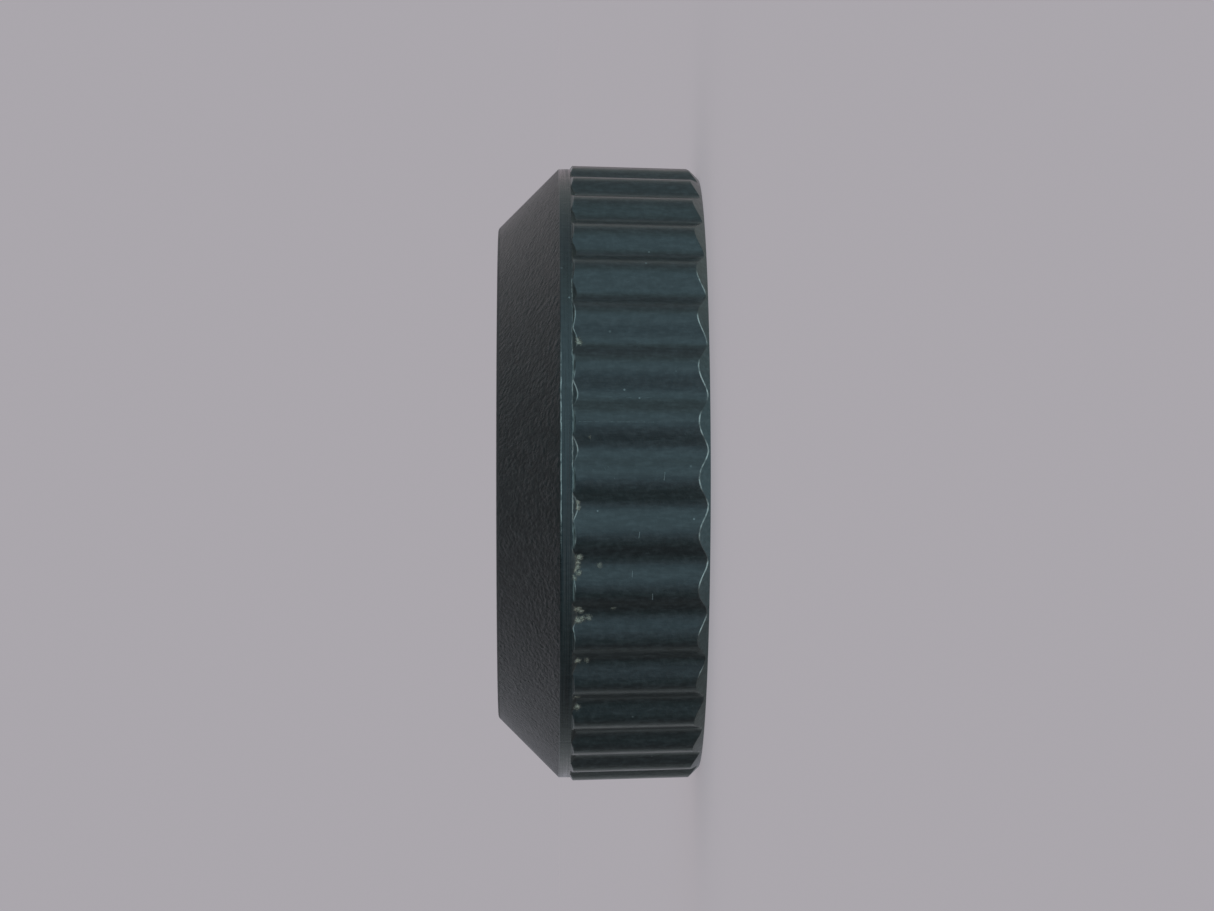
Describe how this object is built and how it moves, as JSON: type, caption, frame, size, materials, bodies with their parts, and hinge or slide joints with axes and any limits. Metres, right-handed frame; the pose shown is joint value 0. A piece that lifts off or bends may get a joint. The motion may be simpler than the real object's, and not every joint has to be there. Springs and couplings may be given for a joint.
{
  "type": "timer knob",
  "caption": "Round push-on control knob with a flat front, a grained bevel, a narrow band, a fluted grip and a hollow back with a hub for a flatted shaft.",
  "frame": {"origin": "centre of the back rim's plane, on the knob's axis", "axes": "+Z along the knob's axis towards the front face, which is up; -Z points out of the shaft bore's mouth; +Y is square to the flat of the bore"},
  "size_m": [0.04, 0.04, 0.0129],
  "materials": {
    "black_plastic": "moulded black plastic, semi-gloss on the fluted grip and band, fine spark-eroded grain on the bevel and front face"
  },
  "bodies": {
    "root": {"knob_body": "black_plastic"}
  },
  "joints": []
}
